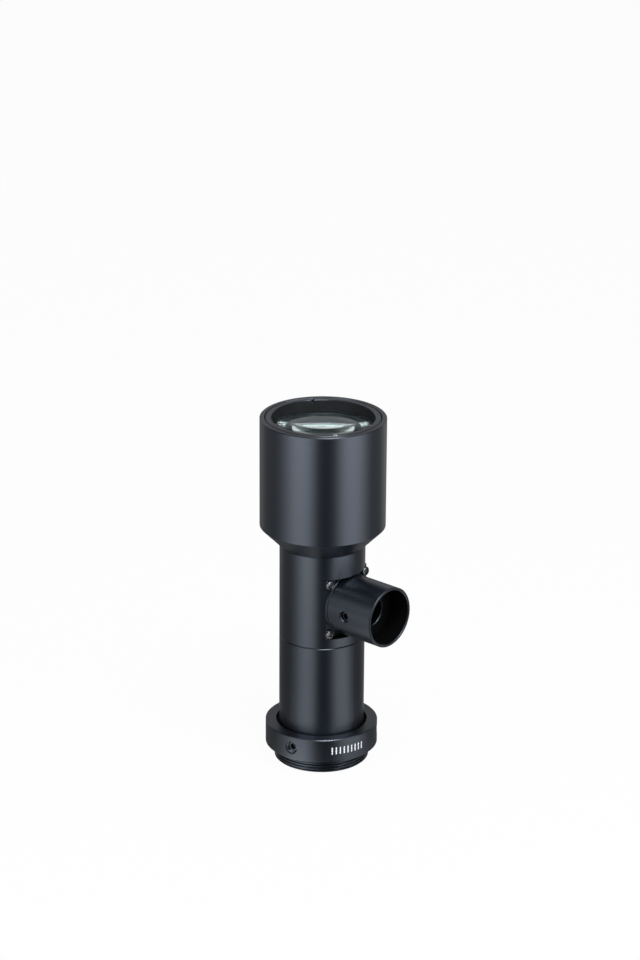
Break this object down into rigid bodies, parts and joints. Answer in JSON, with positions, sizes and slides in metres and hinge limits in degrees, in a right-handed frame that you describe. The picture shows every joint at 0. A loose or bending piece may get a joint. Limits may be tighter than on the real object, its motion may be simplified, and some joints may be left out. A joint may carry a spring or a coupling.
{
  "type": "telecentric lens",
  "caption": "Black telecentric machine-vision lens with a wide front head, a slim barrel, a side port for coaxial light and a threaded camera mount ring.",
  "frame": {"origin": "on the optical axis, in the plane of the mount ring's seat that meets the camera's face", "axes": "+Z along the optical axis from the camera to the object in view, +X along the light port"},
  "size_m": [0.0404, 0.0332, 0.0962],
  "materials": {
    "black_anodised": "turned aluminium, satin black anodised",
    "matt_black": "turned aluminium, matt black anodised inside the light path",
    "coated_glass": "polished optical glass with a greenish anti-reflection coating",
    "prism_glass": "polished prism glass with a half-mirror coating on the cemented face",
    "dark_steel": "blackened steel"
  },
  "bodies": {
    "mount": {"c_mount_ring": "black_anodised"},
    "lens": {"rear_barrel": "black_anodised", "main_barrel": "black_anodised", "head_barrel": "black_anodised", "port_flange": "black_anodised", "port_tube": "black_anodised", "front_retaining_ring": "black_anodised", "rear_spacer": "matt_black", "stop_spacer": "matt_black", "aperture_stop": "matt_black", "rear_retaining_ring": "matt_black", "splitter_cage": "matt_black", "cage_retaining_ring": "matt_black", "light_trap": "matt_black", "condenser_retaining_ring": "matt_black", "head_spacer_ring": "matt_black", "field_lens": "coated_glass", "rear_doublet_inner": "coated_glass", "rear_doublet_outer": "coated_glass", "condenser_lens": "coated_glass", "front_doublet_inner": "coated_glass", "front_doublet_outer": "coated_glass", "second_lens": "coated_glass", "splitter_prism_a": "prism_glass", "splitter_prism_b": "prism_glass", "port_screw_1": "dark_steel", "port_screw_2": "dark_steel", "port_screw_3": "dark_steel", "port_screw_4": "dark_steel"},
    "grub_1": {"mount_grub_screw_1": "dark_steel"},
    "grub_2": {"mount_grub_screw_2": "dark_steel"},
    "grub_3": {"mount_grub_screw_3": "dark_steel"},
    "guide_grub": {"port_grub_screw": "dark_steel"}
  },
  "joints": [
    {"name": "lens_turn", "type": "hinge", "parent": "mount", "child": "lens", "pos_m": [0, 0, 0], "axis": [0, 0, 1], "continuous": true},
    {"name": "grub_1_slide", "type": "slide", "parent": "mount", "child": "grub_1", "axis": [0.1685, -0.9857, 0], "range_m": [0, 0.001]},
    {"name": "grub_2_slide", "type": "slide", "parent": "mount", "child": "grub_2", "axis": [0.7694, 0.6388, 0], "range_m": [0, 0.001]},
    {"name": "grub_3_slide", "type": "slide", "parent": "mount", "child": "grub_3", "axis": [-0.9379, 0.3469, 0], "range_m": [0, 0.001]},
    {"name": "guide_grub_slide", "type": "slide", "parent": "lens", "child": "guide_grub", "axis": [0, -1, 0], "range_m": [0, 0.0008]}
  ]
}
